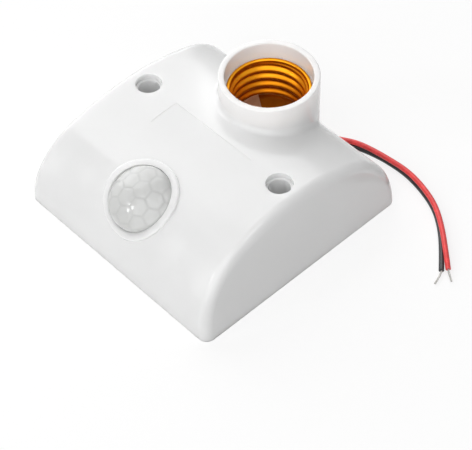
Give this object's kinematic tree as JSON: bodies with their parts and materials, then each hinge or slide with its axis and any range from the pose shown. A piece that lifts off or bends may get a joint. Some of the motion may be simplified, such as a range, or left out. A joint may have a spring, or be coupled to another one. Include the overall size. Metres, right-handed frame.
{
  "type": "motion sensor lamp holder",
  "caption": "Arched plastic lamp holder with a screw socket in a raised collar, a domed motion sensor lens beside it and a supply lead at the back.",
  "frame": {"origin": "middle of the flat back face that lies on the wall or ceiling", "axes": "+Z away from the wall along the lamp's axis, +Y from the lens to the socket, +X along the arch"},
  "size_m": [0.1281, 0.101, 0.0409],
  "materials": {
    "cover_plastic": "glossy",
    "plate_plastic": "satin",
    "lens_plastic": "frosted, translucent",
    "brass": "satin",
    "bronze": "satin",
    "plated_steel": "zinc plated",
    "sensor_can": "nickel plated",
    "board": "paper laminate",
    "film_box": "glossy",
    "capacitor_sleeve": "shrink sleeve",
    "black_resin": "moulded",
    "resistor_lacquer": "lacquered",
    "disc_lacquer": "lacquered",
    "cell_resin": "clear coated",
    "black_insulation": "satin",
    "red_insulation": "satin",
    "white_insulation": "satin",
    "tinned_copper": "tinned"
  },
  "bodies": {
    "holder": {"cover": "cover_plastic", "base_plate": "plate_plastic", "cover_screws": "plated_steel", "lens": "lens_plastic", "socket_shell": "brass", "side_contact": "bronze", "contact_spring": "bronze", "socket_rivets": "brass", "circuit_board": "board", "board_screws": "plated_steel", "pir_sensor": "sensor_can", "film_capacitor": "film_box", "electrolytic_capacitors": "capacitor_sleeve", "control_chip": "black_resin", "triac": "black_resin", "rectifier_diodes": "black_resin", "resistors": "resistor_lacquer", "disc_capacitors": "disc_lacquer", "light_cell": "cell_resin", "black_wire": "black_insulation", "red_wire": "red_insulation", "black_wire_end": "tinned_copper", "red_wire_end": "tinned_copper", "black_inner_lead": "black_insulation", "red_inner_lead": "red_insulation", "lamp_leads": "white_insulation"},
    "button": {"contact_button": "brass"}
  },
  "joints": [
    {"name": "contact_press", "type": "slide", "parent": "holder", "child": "button", "axis": [0, 0, -1], "range_m": [0, 0.0015], "stiffness_N_per_m": 2000, "deforming": ["contact_spring"]}
  ]
}
